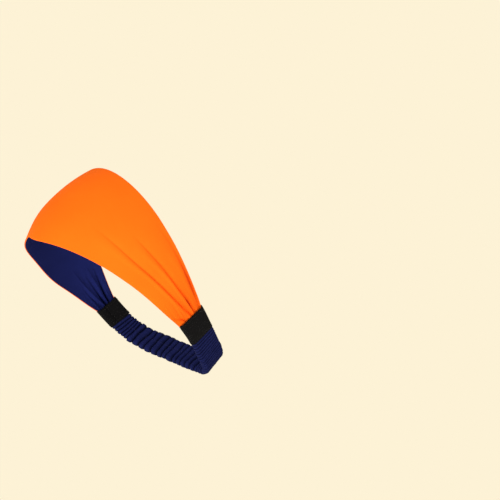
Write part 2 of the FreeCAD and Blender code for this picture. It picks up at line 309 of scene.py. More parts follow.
# bump strength and height in metres, sheen and its tint
surfaces = {
    "orangeKnit": (0.16, 0.0002, 0.02, (1.0, 0.35, 0.06, 1)),
    "navyLining": (0.2, 0.0002, 0.02, (0.1, 0.14, 0.8, 1)),
    "navySleeve": (0.22, 0.0002, 0.02, (0.1, 0.14, 0.8, 1)),
    "blackWebbing": (0.3, 0.00025, 0.02, (1, 0.95, 1, 1)),
    "darkElastic": (0.4, 0.00025, 0.1, (1, 1, 1, 1)),
    "navyThread": (0.4, 0.00015, 0.1, (1, 1, 1, 1)),
    "blackThread": (0.4, 0.00015, 0.1, (1, 1, 1, 1)),
}
threadRoughness = 0.55


def newMaterial(name, sheen, sheenTint):
    material = bpy.data.materials.new(name)
    material.use_nodes = True
    tree = material.node_tree
    tree.nodes.clear()
    shader = addNode(tree, "ShaderNodeBsdfPrincipled", (4, 0))
    shader.inputs["Sheen Weight"].default_value = sheen
    shader.inputs["Sheen Roughness"].default_value = 0.5
    shader.inputs["Sheen Tint"].default_value = sheenTint
    shader.inputs["Specular IOR Level"].default_value = 0.03
    out = addNode(tree, "ShaderNodeOutputMaterial", (6, 0))
    tree.links.new(shader.outputs[0], out.inputs[0])
    return material, tree, shader


def makeFinish(name, group, values):
    strength, distance, sheen, sheenTint = surfaces[name]
    material, tree, shader = newMaterial(name, sheen, sheenTint)
    if group is twistGroup:
        place = addNode(tree, "ShaderNodeTexCoord", (-2, 0)).outputs["Object"]
        shader.inputs["Roughness"].default_value = threadRoughness
    else:
        place = addNode(tree, "ShaderNodeUVMap", (-2, 0), uv_map="clothMetres").outputs[0]
    pattern = addNode(tree, "ShaderNodeGroup", (0, 0), node_tree=group)
    feed(tree, pattern.inputs["Vector"], place)
    for label, value in values.items():
        feed(tree, pattern.inputs[label], value)
    if group is knitGroup:
        # painted shade of folds, gathers and pleat valleys, read from the piece's attribute
        paintedShade = addNode(tree, "ShaderNodeAttribute", (-2, 2), attribute_name="paintedShade")
        feed(tree, pattern.inputs["Painted Shade"], paintedShade.outputs["Fac"])
    feed(tree, shader.inputs["Base Color"], pattern.outputs["Color"])
    if group is not twistGroup:
        feed(tree, shader.inputs["Roughness"], pattern.outputs["Roughness"])
    bump = addNode(tree, "ShaderNodeBump", (2, 2))
    bump.inputs["Strength"].default_value = strength
    bump.inputs["Distance"].default_value = distance
    feed(tree, bump.inputs["Height"], pattern.outputs["Height"])
    feed(tree, shader.inputs["Normal"], bump.outputs[0])
    return material


materials = {}
for group, finishes in ((knitGroup, knitFinish), (ribGroup, ribFinish), (twistGroup, threadFinish)):
    for name, values in finishes.items():
        materials[name] = makeFinish(name, group, values)
print("headband: finishes made")


# meshes

edgeBulge = 0.45                      # how far a sheet's edge stands out, as a share of its thickness


def newPiece(name, vertices, faces, material, uvs=None):
    mesh = bpy.data.meshes.new(name)
    mesh.from_pydata(vertices, [], faces)
    mesh.materials.append(material)
    if uvs:
        layer = mesh.uv_layers.new(name="clothMetres")
        for loop in mesh.loops:
            layer.data[loop.index].uv = uvs[loop.vertex_index]
    for polygon in mesh.polygons:
        polygon.use_smooth = True
    piece = bpy.data.objects.new(name, mesh)
    bpy.context.collection.objects.link(piece)
    return piece


def gridNormals(grid):
    rows, columns = len(grid), len(grid[0])
    normals = []
    for i in range(rows):
        line = []
        for j in range(columns):
            across = grid[i][min(j + 1, columns - 1)] - grid[i][max(j - 1, 0)]
            along = grid[min(i + 1, rows - 1)][j] - grid[max(i - 1, 0)][j]
            line.append(along.cross(across).normalized())
        normals.append(line)
    return normals


def sheetPiece(name, grid, uvGrid, thickness, material, paintedShades=None):
    # closed shell of a sheet's middle surface, with rounded edges; normals point to its face side
    normals = gridNormals(grid)
    rows, columns = len(grid), len(grid[0])
    vertices, uvs, faces = [], [], []
    for side in (0.5, -0.5):
        for i in range(rows):
            for j in range(columns):
                vertices.append(grid[i][j] + normals[i][j] * (side * thickness))
                uvs.append(uvGrid[i][j])
    layer = rows * columns
    for i in range(rows - 1):
        for j in range(columns - 1):
            a = i * columns + j
            b, c, d = a + 1, a + columns + 1, a + columns
            faces.append((a, d, c, b))
            faces.append((layer + a, layer + b, layer + c, layer + d))
    rim = [(0, j) for j in range(columns)] + [(i, columns - 1) for i in range(1, rows)]
    rim += [(rows - 1, j) for j in range(columns - 2, -1, -1)] + [(i, 0) for i in range(rows - 2, 0, -1)]
    start = len(vertices)
    for i, j in rim:
        out = grid[i][j] - grid[min(max(i, 1), rows - 2)][min(max(j, 1), columns - 2)]
        vertices.append(grid[i][j] + out.normalized() * (thickness * edgeBulge))
        uvs.append(uvGrid[i][j])
    for n, (i, j) in enumerate(rim):
        m = (n + 1) % len(rim)
        a, b = i * columns + j, rim[m][0] * columns + rim[m][1]
        faces.append((a, b, start + m, start + n))
        faces.append((start + n, start + m, layer + b, layer + a))
    piece = newPiece(name, vertices, faces, material, uvs)
    # painted shade of folds and gathers, one value per vertex, the same on both faces and none on the rim
    if paintedShades:
        flat = [value for line in paintedShades for value in line]
        values = flat + flat + [0.0] * (len(vertices) - 2 * layer)
        attribute = piece.data.attributes.new("paintedShade", "FLOAT", "POINT")
        attribute.data.foreach_set("value", values)
    return piece


# the panel

panelSizes = {
    "reach": 176.5 * mm,
    "halfWidths": (47.5, 47.5, 31.0, 25.3),         # mm, steer the taper from the middle to the tab
    "endHalfWidth": {1: 14.6, -1: 11.7},            # mm, at the right and at the left tab
    # how far the lower edge rides up, where and over what reach, and where it hangs lower
    "edgeLifts": ((5.6 * mm, -24 * mm, 19 * mm), (-3.4 * mm, -112 * mm, 30 * mm)),
    "edgeTuck": (1.6 * mm, -90 * mm, 38 * mm),      # the same for how far it pulls in
    "crown": 7.9 * mm,
    "tongue": 6.0 * mm,
    "skew": 3.5 * mm,                               # how far aslant the tabs are sewn on
    "tongueNarrowing": 1.2 * mm,
    "columns": 240,
    "rows": 112,
    "roll": 0.45 * mm,                              # radius of the edge where the fabric turns in
    "edgeTurn": 0.62,                               # how far it turns in, in half turns
    "outerThickness": 0.55 * mm,
    "outerOffset": 0.55 * mm,
    "liningThickness": 0.5 * mm,
    "liningOffset": -0.35 * mm,
    "liningInset": 0.30 * mm,
    "gatherDepth": 0.3 * mm,
    "gatherReach": 42 * mm,
    "outerShade": 0.24,                             # painted shade: how much the outer cloth's colour is darkened by the tabs
    "outerReach": 46 * mm,
    "mouthShade": 0.35,                             # painted shade: how dark the lining is painted where the tab closes over it
    "mouthReach": 16 * mm,
    "puff": 0.9 * mm,                               # the cloth stands out a little before it is gathered
    "puffReach": 50 * mm,
    "seed": 11,
}

# creases at the right and at the left tab: points (mm from the tab's edge, v), depth and width in mm
# at the tab end, how much painted shade darkens the crease's line, and if that painted shade is darker
# somewhere, how much, where and how long;
# one with a negative depth is a fold of the inner face
creases = {
    1: [
        {"points": ((130, -0.36), (85, -0.44), (39, -0.34), (2, -0.04)),
         "depth": 2.2, "width": 1.0, "shade": 0.34},
        {"points": ((100, 0.05), (39, 0.13), (20, 0.22), (0, 0.32)),
         "depth": 2.8, "width": 1.0, "shade": 0.4, "peak": (1.25, 0.87, 0.07)},
        {"points": ((97, 0.80), (60, 0.85), (26, 0.84), (0, 0.80)),
         "depth": 1.3, "width": 1.8, "shade": 0.25, "peak": (0.85, 0.70, 0.22)},
        {"points": ((13, -1.05), (8, -0.85), (3, -0.60), (-2, -0.52)),
         "depth": 2.2, "width": 0.7, "shade": 0.6},
    ],
    -1: [
        {"points": ((42, 0.62), (16, 0.5), (0, 0.33)), "depth": -2.4, "width": 0.9, "shade": 1.0},
        {"points": ((38, 0.10), (16, 0.06), (0, 0.0)), "depth": -2.2, "width": 0.9, "shade": 0.95},
        {"points": ((34, -0.45), (16, -0.47), (0, -0.42)), "depth": -1.2, "width": 1.0, "shade": 0.5},
        {"points": ((54, -0.26), (30, -0.28), (0, -0.2)), "depth": 1.5, "width": 0.9, "shade": 0.3},
        {"points": ((48, 0.30), (20, 0.30), (0, 0.18)), "depth": 1.4, "width": 0.9, "shade": 0.3},
        {"points": ((36, 0.84), (18, 0.82), (0, 0.66)), "depth": 1.0, "width": 0.8, "shade": 0.2},
    ],
}


def halfWidth(s):
    q = min(abs(s) / panelSizes["reach"], 1.0)
    widths = panelSizes["halfWidths"] + (panelSizes["endHalfWidth"][1 if s >= 0 else -1],)
    width = sum(math.comb(4, i) * q ** i * (1 - q) ** (4 - i) * w for i, w in enumerate(widths))
    inTab = max(abs(s) - panelSizes["reach"], 0) / panelSizes["tongue"]
    return width * mm - panelSizes["tongueNarrowing"] * min(inTab, 1.0)


def skewShift(side, v):
    # how much further from the front a tab's edge is at that height, from -1 to 1
    return panelSizes["skew"] * (min(max(v, -1.0), 1.0) - side) / 2


def creaseRuns(side, crease):
    # short straight runs of a smooth line through the crease's points, each with its share of the length
    places = [(d * mm, (panelSizes["reach"] - max(d, 0) * mm) * side, v) for d, v in crease["points"]]
    marks = [(d, v * halfWidth(s)) for d, s, v in places]
    finer = []
    for k in range(len(marks) - 1):
        line = (marks[max(k - 1, 0)], marks[k], marks[k + 1], marks[min(k + 2, len(marks) - 1)])
        for n in range(6):
            t = n / 6
            weights = (-t + 2 * t ** 2 - t ** 3, 2 - 5 * t ** 2 + 3 * t ** 3,
                       t + 4 * t ** 2 - 3 * t ** 3, t ** 3 - t ** 2)
            finer.append(tuple(sum(w * p[c] for w, p in zip(weights, line)) / 2 for c in (0, 1)))
    finer.append(marks[-1])
    lengths = [0.0]
    for a, b in zip(finer, finer[1:]):
        lengths.append(lengths[-1] + math.dist(a, b))
    crease["runs"] = [(a, b, l0 / lengths[-1], l1 / lengths[-1])
                      for a, b, l0, l1 in zip(finer, finer[1:], lengths, lengths[1:])]
    crease["low"] = min(p[0] for p in finer)
    crease["high"] = max(p[0] for p in finer)


for side, sideCreases in creases.items():
    for crease in sideCreases:
        creaseRuns(side, crease)
wobble = random.Random(panelSizes["seed"])
gathers = [(wobble.uniform(0.8, 2.6), wobble.uniform(0, 6.28), wobble.uniform(0.5, 1.0))
           for _ in range(6)]
swells = [(wobble.uniform(14, 34), wobble.uniform(0.6, 1.8), wobble.uniform(0, 6.28)) for _ in range(5)]


def creaseLift(side, d, h):
    # lift of the cloth, and how much painted shade darkens the point on the outer and on the inner face,
    # along the creases and by the tabs
    lift, outerPaintedShade, innerPaintedShade = 0.0, 0.0, 0.0
    for crease in creases[side]:
        if d > crease["high"] + 6 * mm or d < crease["low"] - 4 * mm:
            continue
        best = (1.0, 0.0, 0.0)
        for a, b, t0, t1 in crease["runs"]:
            ex, ey = b[0] - a[0], b[1] - a[1]
            size = ex * ex + ey * ey
            t = min(max(((d - a[0]) * ex + (h - a[1]) * ey) / size, 0.0), 1.0)
            dx, dy = d - a[0] - ex * t, h - a[1] - ey * t
            away = math.hypot(dx, dy)
            if away < best[0]:
                best = (away, t0 + (t1 - t0) * t, math.copysign(1.0, ex * dy - ey * dx))
        away, along, hand = best
        width = crease["width"] * mm * (2.6 - 1.6 * smooth(along * 1.6))
        x = away * hand * side / width
        strength = smooth(along * 4) * (0.3 + 0.7 * smooth(along * 1.15))
        valley = -math.exp(-abs(x) / (0.62 if x > 0 else 1.6))
        ridge = 0.42 * math.exp(-((x - 2.3) / 1.5) ** 2)
        lift += strength * crease["depth"] * mm * (valley + ridge)
        # painted shade along the crease's line, darker around its peak
        darkest, darkestAt, darkestReach = crease.get("peak", (crease["shade"], 1.0, 1.0))
        more = (darkest - crease["shade"]) * math.exp(-((along - darkestAt) / darkestReach) ** 2)
        reach = 0.85 * mm * crease["width"] * (1 + 0.8 * more)
        shade = strength * (crease["shade"] + more) * math.exp(-(away / reach) ** 2)
        if crease["depth"] > 0:
            outerPaintedShade = max(outerPaintedShade, shade)
        else:
            innerPaintedShade = max(innerPaintedShade, shade)
    # painted shade: the outer cloth darkened towards the gathered tab, the lining darkened where the tab
    # closes over it
    shadeByTab = panelSizes["outerShade"] * smooth(1 - d / panelSizes["outerReach"])
    shadeByMouth = panelSizes["mouthShade"] * smooth(1 - d / panelSizes["mouthReach"])
    outerPaintedShade = max(outerPaintedShade, shadeByTab)
    innerPaintedShade = max(innerPaintedShade, shadeByMouth)
    return lift, min(outerPaintedShade, 1.0), innerPaintedShade


def softLift(side, d, h):
    near = smooth(1 - d / panelSizes["gatherReach"]) if d > 0 else 1.0
    ripple = 0.0
    for pitch, phase, weight in gathers:
        ripple += weight * math.sin(h / mm / pitch * 2.0 + phase + side + d / mm * 0.02)
    broad = sum(math.sin(d / mm / length + h / mm / length * slope + phase * side)
                for length, slope, phase in swells)
    return panelSizes["gatherDepth"] * near * ripple / 3 + 0.16 * mm * broad * smooth(d / 0.05)


def panelLift(s, h):
    side = 1 if s >= 0 else -1
    q = min(abs(s) / panelSizes["reach"], 1.0)
    v = h / halfWidth(s)
    d = panelSizes["reach"] + skewShift(side, v) - abs(s)
    lift = panelSizes["crown"] * (1 - q * q) * (1 - v * v)
    edge = smooth((1.0 - abs(v)) * 9)               # creases die out in the rolled edge
    puff = panelSizes["puff"] * smooth(1 - d / panelSizes["puffReach"]) * (1 - v * v)
    inTab = 1 - 0.8 * smooth((2.5 * mm - d) / (5 * mm))     # pressed flat inside the tab
    crease, outerPaintedShade, innerPaintedShade = creaseLift(side, d, h)
    lift += ((crease + softLift(side, d, h)) * (0.35 + 0.65 * edge) + puff) * inTab
    return lift, outerPaintedShade, innerPaintedShade


def panelPoint(s, h, offset):
    foot, outward = loopStation(s)
    lift, outerPaintedShade, innerPaintedShade = panelLift(s, h)
    low = smooth(-h / halfWidth(s))
    for rise, riseAt, riseReach in panelSizes["edgeLifts"]:
        h += rise * math.exp(-((s - riseAt) / riseReach) ** 2) * low
    tuck, tuckAt, tuckReach = panelSizes["edgeTuck"]
    lift -= tuck * math.exp(-((s - tuckAt) / tuckReach) ** 2) * low
    return foot + outward * (offset + lift) + Vector((0, 0, h)), outerPaintedShade, innerPaintedShade


def panelStations():
    # closer together towards the tabs, where the gathers are
    count = panelSizes["columns"]
    reach = panelSizes["reach"] + panelSizes["tongue"]
    stations = []
    for i in range(count + 1):
        t = 2 * i / count - 1
        stations.append(reach * math.copysign(1 - (1 - abs(t)) ** 1.12, t))
    return stations


def layerGrid(profile, face):
    grid, uvGrid, paintedShades = [], [], []
    for s in panelStations():
        section = profile(halfWidth(s))
        found = [panelPoint(s, h, offset) for h, offset, across in section]
        grid.append([place[0] for place in found])
        # painted shade of this layer's face
        paintedShades.append([place[face] for place in found])
        uvGrid.append([(s, across) for h, offset, across in section])
    return grid, uvGrid, paintedShades


def outerProfile(half):
    roll, offset, rows = panelSizes["roll"], panelSizes["outerOffset"], panelSizes["rows"]
    flat = half - roll

    def edge(sign, k):
        a = math.pi * (0.5 - panelSizes["edgeTurn"] * (1 - k / 5))
        lift = offset - roll + roll * math.sin(a)
        return sign * (flat + roll * math.cos(a)), lift, sign * (flat + roll * (1.5 - k / 5))

    points = [edge(-1, k) for k in range(6)]
    for k in range(1, rows):
        h = flat * (2 * k / rows - 1)
        points.append((h, offset, h))
    return points + [edge(1, k) for k in range(5, -1, -1)]


def liningProfile(half):
    flat = half - panelSizes["liningInset"]
    points = []
    for k in range(panelSizes["rows"] + 1):
        t = 2 * k / panelSizes["rows"] - 1
        tuck = 0.25 * mm * max(0.0, (abs(t) - 0.97) / 0.03) ** 2
        points.append((flat * t, panelSizes["liningOffset"] + tuck, flat * t))
    return points


grid, uvGrid, paintedShades = layerGrid(outerProfile, 1)
outerFabric = sheetPiece("outerFabric", grid, uvGrid, panelSizes["outerThickness"],
                         materials["orangeKnit"], paintedShades)
grid, uvGrid, paintedShades = layerGrid(liningProfile, 2)
innerLining = sheetPiece("innerLining", grid, uvGrid, panelSizes["liningThickness"],
                         materials["navyLining"], paintedShades)
print("headband: panel layers made")

# stitches, one tree for every row of thread

stitchSizes = {
    "edge": {"pitch": 3.0 * mm, "length": 2.3 * mm, "width": 0.42 * mm, "jitter": 0.10},
    "tab": {"pitch": 2.5 * mm, "length": 1.9 * mm, "width": 0.5 * mm, "jitter": 0.06},
    "sleeve": {"pitch": 2.2 * mm, "length": 1.7 * mm, "width": 0.45 * mm, "jitter": 0.12},
    "endGap": 1.5 * mm,               # the edge rows stop this far from the tabs
    "edgeInset": 0.35 * mm,           # and run this far in from the lining's edge
}


def makeStitchTree():
    tree, source, result = newGroup("stitchRow", "GeometryNodeTree", {
        "Guide": "Geometry", "Stitch Pitch": 0.0025, "Stitch Length": 0.0019, "Thread Width": 0.0005,
        "Jitter": 0.1, "Seed": 1, "Thread": "Material",
    }, {"Stitches": "Geometry"})
    given = source.outputs
    curve = addNode(tree, "GeometryNodeMeshToCurve", (-5, 0))
    feed(tree, curve.inputs["Mesh"], given["Guide"])
    points = addNode(tree, "GeometryNodeCurveToPoints", (-4, 0), mode="LENGTH")
    feed(tree, points.inputs["Curve"], curve.outputs[0])
    feed(tree, points.inputs["Length"], given["Stitch Pitch"])
    turn = addNode(tree, "FunctionNodeAlignRotationToVector", (-3, 1), axis="Z")
    feed(tree, turn.inputs["Vector"], points.outputs["Tangent"])
    capsule = addNode(tree, "GeometryNodeMeshUVSphere", (-4, 2))
    capsule.inputs["Segments"].default_value = 7
    capsule.inputs["Rings"].default_value = 6
    capsule.inputs["Radius"].default_value = 0.5
    shape = addNode(tree, "ShaderNodeCombineXYZ", (-4, 3))
    feed(tree, shape.inputs[0], given["Thread Width"])
    feed(tree, shape.inputs[1], given["Thread Width"])
    feed(tree, shape.inputs[2], given["Stitch Length"])
    sized = addNode(tree, "GeometryNodeTransform", (-3, 2))
    feed(tree, sized.inputs["Geometry"], capsule.outputs["Mesh"])
    feed(tree, sized.inputs["Scale"], shape.outputs[0])
    vary = addNode(tree, "FunctionNodeRandomValue", (-3, 4), data_type="FLOAT")
    low = mathNode(tree, "SUBTRACT", (-4, 4), 1.0, given["Jitter"])
    high = mathNode(tree, "ADD", (-4, 5), 1.0, given["Jitter"])
    floats = [socket for socket in vary.inputs if socket.enabled and socket.name in ("Min", "Max")]
    feed(tree, floats[0], low)
    feed(tree, floats[1], high)
    feed(tree, [socket for socket in vary.inputs if socket.name == "Seed"][0], given["Seed"])
    value = [socket for socket in vary.outputs if socket.enabled][0]
    place = addNode(tree, "GeometryNodeInstanceOnPoints", (-1, 0))
    feed(tree, place.inputs["Points"], points.outputs["Points"])
    feed(tree, place.inputs["Instance"], sized.outputs[0])
    feed(tree, place.inputs["Rotation"], turn.outputs[0])
    feed(tree, place.inputs["Scale"], value)
    real = addNode(tree, "GeometryNodeRealizeInstances", (1, 0))
    feed(tree, real.inputs[0], place.outputs[0])
    shade = addNode(tree, "GeometryNodeSetShadeSmooth", (2, 0))
    feed(tree, shade.inputs[0], real.outputs[0])
    finish = addNode(tree, "GeometryNodeSetMaterial", (3, 0))
    feed(tree, finish.inputs["Geometry"], shade.outputs[0])
    feed(tree, finish.inputs["Material"], given["Thread"])
    feed(tree, result.inputs[0], finish.outputs[0])
    return tree


def plainMesh(thing):
    bpy.context.view_layer.update()
    graph = bpy.context.evaluated_depsgraph_get()
    return bpy.data.meshes.new_from_object(thing.evaluated_get(graph), depsgraph=graph)


def runNodes(name, base, tree, values):
    # base object with the tree on it, turned into a plain mesh object
    modifier = base.modifiers.new("shape", "NODES")
    modifier.node_group = tree
    for item in tree.interface.items_tree:
        if item.item_type == "SOCKET" and item.in_out == "INPUT" and item.name in values:
            modifier[item.identifier] = values[item.name]
    base.update_tag()
    mesh = plainMesh(base)
    mesh.name = name
    oldMesh = base.data
    bpy.data.objects.remove(base)
    bpy.data.meshes.remove(oldMesh)
    piece = bpy.data.objects.new(name, mesh)
    bpy.context.collection.objects.link(piece)
    return piece


stitchTree = makeStitchTree()


def stitchPiece(name, lines, kind, thread, seed):
    vertices, edges = [], []
    for line in lines:
        start = len(vertices)
        vertices += line
        edges += [(start + k, start + k + 1) for k in range(len(line) - 1)]
    mesh = bpy.data.meshes.new(name + "Guide")
    mesh.from_pydata(vertices, edges, [])
    guide = bpy.data.objects.new(name + "Guide", mesh)
    bpy.context.collection.objects.link(guide)
    sizes = stitchSizes[kind]
    return runNodes(name, guide, stitchTree, {
        "Stitch Pitch": sizes["pitch"], "Stitch Length": sizes["length"], "Thread Width": sizes["width"],
        "Jitter": sizes["jitter"], "Seed": seed, "Thread": materials[thread],
    })


def edgeLine(side):
    reach = panelSizes["reach"] - stitchSizes["endGap"]
    inset = panelSizes["liningInset"] + stitchSizes["edgeInset"]
    offset = panelSizes["liningOffset"] - panelSizes["liningThickness"] / 2 - 0.06 * mm
    line = []
    for k in range(181):
        s = reach * (2 * k / 180 - 1)
        line.append(panelPoint(s, side * (halfWidth(s) - inset), offset)[0])
    return line


upperEdgeStitches = stitchPiece("upperEdgeStitches", [edgeLine(1)], "edge", "navyThread", 21)
lowerEdgeStitches = stitchPiece("lowerEdgeStitches", [edgeLine(-1)], "edge", "navyThread", 22)
print("headband: edge stitches made")

# webbing tabs, each one strip folded flat round the band and lapped over itself on the inside

tabSizes = {
    "length": {1: 26.8 * mm, -1: 22.2 * mm},
    "mouthHalf": {1: 15.0 * mm, -1: 12.1 * mm},      # half width at the panel
    "rearHalf": {1: 14.0 * mm, -1: 11.9 * mm},       # half width at the elastic
    "mouthDepth": 3.0 * mm,
    "rearDepth": 3.05 * mm,
    "webbing": 0.9 * mm,
    "lap": 7.0 * mm,
    "lapTuck": 1.05 * mm,
    "pinch": 0.18 * mm,                              # how far the stitches pull the webbing in
    "rowInset": 2.0 * mm,
    "rowHeights": (-11.0, -5.5, 0.0, 5.5, 11.0),     # mm
    "columns": 30,
    "steps": {"in": 16, "low": 14, "out": 44, "top": 14},
}


def tabSection(half, radius):
    # path of the strip's middle, from the tucked end on the inner face round to the lapped end
    flat = half - radius
    lap = tabSizes["lap"]
    runs = [("in", lap / 2, -flat), ("low", 0, 0), ("out", -flat, flat), ("top", 0, 0),
            ("in", flat, -lap / 2)]
    points = []
    travelled = 0.0
    for kind, start, end in runs:
        turning = kind in ("low", "top")
        size = math.pi * radius if turning else abs(end - start)
        steps = tabSizes["steps"][kind]
        for k in range(steps):
            t = k / steps
            if turning:
                sign = 1 if kind == "top" else -1
                a = math.pi * t
                h, offset = sign * (flat + radius * math.sin(a)), sign * radius * math.cos(a)
            else:
                h, offset = start + (end - start) * t, radius if kind == "out" else -radius
            points.append([h, offset, travelled + size * t])
        travelled += size
    points.append([-lap / 2, -radius, travelled])
    for point in points:
        point[1] += tabSizes["lapTuck"] * smooth((lap * 1.6 - point[2]) / (lap * 0.6))
    return points


def tabPiece(name, side):
    grid, uvGrid = [], []
    columns = tabSizes["columns"]
    for k in range(columns + 1):
        t = k / columns
        along = panelSizes["reach"] + tabSizes["length"][side] * t
        mouth, rear = tabSizes["mouthHalf"][side], tabSizes["rearHalf"][side]
        half = mouth + (rear - mouth) * smooth(t * 1.1)
        depth = tabSizes["mouthDepth"] + (tabSizes["rearDepth"] - tabSizes["mouthDepth"]) * t
        pinch = sum(math.exp(-((t - row) / 0.03) ** 2) for row in (0.085, 0.915)) * tabSizes["pinch"]
        line, uvLine = [], []
        for h, offset, travelled in tabSection(half, depth):
            foot, outward = loopStation((along + skewShift(side, h / half)) * side)
            flatPart = smooth((half - abs(h)) / (2.5 * mm))
            pulled = offset - math.copysign(pinch * flatPart, offset)
            line.append(foot + outward * pulled + Vector((0, 0, h)))
            uvLine.append((tabSizes["length"][side] * t, travelled))
        grid.append(line)
        uvGrid.append(uvLine)
    if side < 0:
        grid.reverse()
        uvGrid.reverse()
    return sheetPiece(name, grid, uvGrid, tabSizes["webbing"], materials["blackWebbing"])


rightTab = tabPiece("rightTab", 1)
leftTab = tabPiece("leftTab", -1)


def tabRow(side, t):
    places = []
    for h in tabSizes["rowHeights"]:
        shift = skewShift(side, h * mm / tabSizes["rearHalf"][side])
        foot, outward = loopStation((panelSizes["reach"] + t + shift) * side)
        places.append((foot + Vector((0, 0, h * mm)), outward))
    outer = tabSizes["mouthDepth"] + tabSizes["webbing"] / 2 - 0.1 * mm
    return [[foot + outward * face for foot, outward in places] for face in (outer, -outer)]


tabStitches = {}
for sideName, side in (("right", 1), ("left", -1)):
    inset = tabSizes["rowInset"]
    for rowName, t in (("Front", inset), ("Rear", tabSizes["length"][side] - inset)):
        name = sideName + "Tab" + rowName + "Stitches"
        seed = 31 + len(tabStitches)
        tabStitches[name] = stitchPiece(name, tabRow(side, t), "tab", "blackThread", seed)
print("headband: tabs made")

# the elastic inside the sleeve

elasticSizes = {
    "width": 20.6 * mm,
    "thickness": 1.4 * mm,
    "start": 17.0 * mm,               # inside the tabs, past the panel's end
    "ribs": 13,
    "ribDepth": 0.12 * mm,
    "stations": 110,
}


def makeElastic():
    start = panelSizes["reach"] + elasticSizes["start"]
    grid, uvGrid = [], []
    count = elasticSizes["ribs"] * 6
    for k in range(elasticSizes["stations"] + 1):
        s = start + (loopLength - 2 * start) * k / elasticSizes["stations"]
        foot, outward = loopStation(s)
        line, uvLine = [], []
        for j in range(count + 1):
            h = elasticSizes["width"] * (j / count - 0.5)
            rib = elasticSizes["ribDepth"] * math.cos(2 * math.pi * j / 6)
            line.append(foot + outward * rib * 0.5 + Vector((0, 0, h)))
            uvLine.append((h, s))
        grid.append(line)
        uvGrid.append(uvLine)
    thickness = elasticSizes["thickness"] - elasticSizes["ribDepth"]
    return sheetPiece("elasticTape", grid, uvGrid, thickness, materials["darkElastic"])


elasticTape = makeElastic()

# the ruched sleeve: a plain flat tube whose pleats come from a node tree

sleeveSizes = {
    "gap": 0.3 * mm,
    "halfWidth": (13.4 * mm, 10.7 * mm),   # by the right tab, and past the corner to the left tab
    "depth": 1.9 * mm,                # half thickness at the bottom of a valley
    "skewReach": 30 * mm,             # how far the tabs' slant is felt
    "narrowing": (30 * mm, 60 * mm),  # where along the sleeve it gets narrower, and over what length
    "stationGap": 0.42 * mm,
    "around": 60,
    "wall": 0.4 * mm,
    "pleatDepth": 2.3 * mm,
    "fullPitch": 6.4 * mm,            # pleats closer than this stand lower
    "pleatSharpness": 4.4,
    "pleatLean": 1.35,
    "slant": 0.18,
    "wobble": 0.55,
    "seed": 5,
    "clothGather": 1.31,              # how much longer the cloth is than the gathered sleeve
}

# stretches of the sleeve from the right tab to the left tab: length in mm and pitch of its pleats
ruchStretches = ((58, 3.1), (14, 5.2), (92, 7.3), (19, 4.1))


def pleatEdges():
    spread = random.Random(sleeveSizes["seed"])
    start = panelSizes["reach"] + tabSizes["length"][1] + sleeveSizes["gap"]
    total = loopLength - start - panelSizes["reach"] - tabSizes["length"][-1] - sleeveSizes["gap"]
    scale = total / (sum(length for length, pitch in ruchStretches) * mm)
    edges = [start]
    travelled = 0.0
    for length, pitch in ruchStretches:
        travelled += length * mm * scale
        count = round(length / pitch)
        first = edges[-1]
        steps = [spread.uniform(0.82, 1.2) for _ in range(count)]
        for k in range(count):
            edges.append(first + (start + travelled - first) * sum(steps[:k + 1]) / sum(steps))
    return edges


def makeTube():
    edges = pleatEdges()
    stations = []
    for k, (a, b) in enumerate(zip(edges, edges[1:])):
        steps = max(12, round((b - a) / sleeveSizes["stationGap"]))
        stations += [(a + (b - a) * n / steps, k + n / steps, b - a) for n in range(steps)]
    stations.append((edges[-1], float(len(edges) - 1), edges[-1] - edges[-2]))
    around = sleeveSizes["around"]
    vertices, faces, uvs, phases, rims, swells = [], [], [], [], [], []
    radius = sleeveSizes["depth"]
    wide, narrow = sleeveSizes["halfWidth"]
    narrowAt, narrowOver = sleeveSizes["narrowing"]
    for s, phase, pitch in stations:
        byRight = 1 - smooth((s - edges[0]) / sleeveSizes["skewReach"])
        byLeft = 1 - smooth((edges[-1] - s) / sleeveSizes["skewReach"])
        flat = wide + (narrow - wide) * smooth((s - edges[0] - narrowAt) / narrowOver) - radius
        perimeter = 4 * flat + 2 * math.pi * radius
        for j in range(around):
            # starts at the middle of the inner face, where the tube is closed
            travelled = perimeter * j / around
            if travelled < flat:
                h, offset = -travelled, -radius
            elif travelled < flat + math.pi * radius:
                a = (travelled - flat) / radius
                h, offset = -flat - radius * math.sin(a), -radius * math.cos(a)
            elif travelled < 3 * flat + math.pi * radius:
                h, offset = travelled - 2 * flat - math.pi * radius, radius
            elif travelled < 3 * flat + 2 * math.pi * radius:
                a = (travelled - 3 * flat - math.pi * radius) / radius
                h, offset = flat + radius * math.sin(a), radius * math.cos(a)
            else:
                h, offset = perimeter - travelled, -radius
            v = h / (flat + radius)
            foot, outward = loopStation(s + skewShift(1, v) * byRight - skewShift(-1, v) * byLeft)
            vertices.append(foot + outward * offset + Vector((0, 0, h)))
            uvs.append((s * sleeveSizes["clothGather"], travelled))
            phases.append(phase)
            rims.append(smooth((abs(h) - flat) / radius))
            swells.append(min(1.0, pitch / sleeveSizes["fullPitch"]) ** 0.8)
    rows = len(stations)
    for i in range(rows - 1):
        for j in range(around):
            k = (j + 1) % around
            faces.append((i * around + j, (i + 1) * around + j, (i + 1) * around + k, i * around + k))
    tube = newPiece("sleeveTube", vertices, faces, materials["navySleeve"], uvs)
    for name, values in (("pleatPhase", phases), ("rim", rims), ("swell", swells)):
        attribute = tube.data.attributes.new(name, "FLOAT", "POINT")
        attribute.data.foreach_set("value", values)
    return tube, rows


def readAttribute(tree, name, place):
    node = addNode(tree, "GeometryNodeInputNamedAttribute", place, data_type="FLOAT")
    node.inputs["Name"].default_value = name
    return [socket for socket in node.outputs if socket.enabled][0]


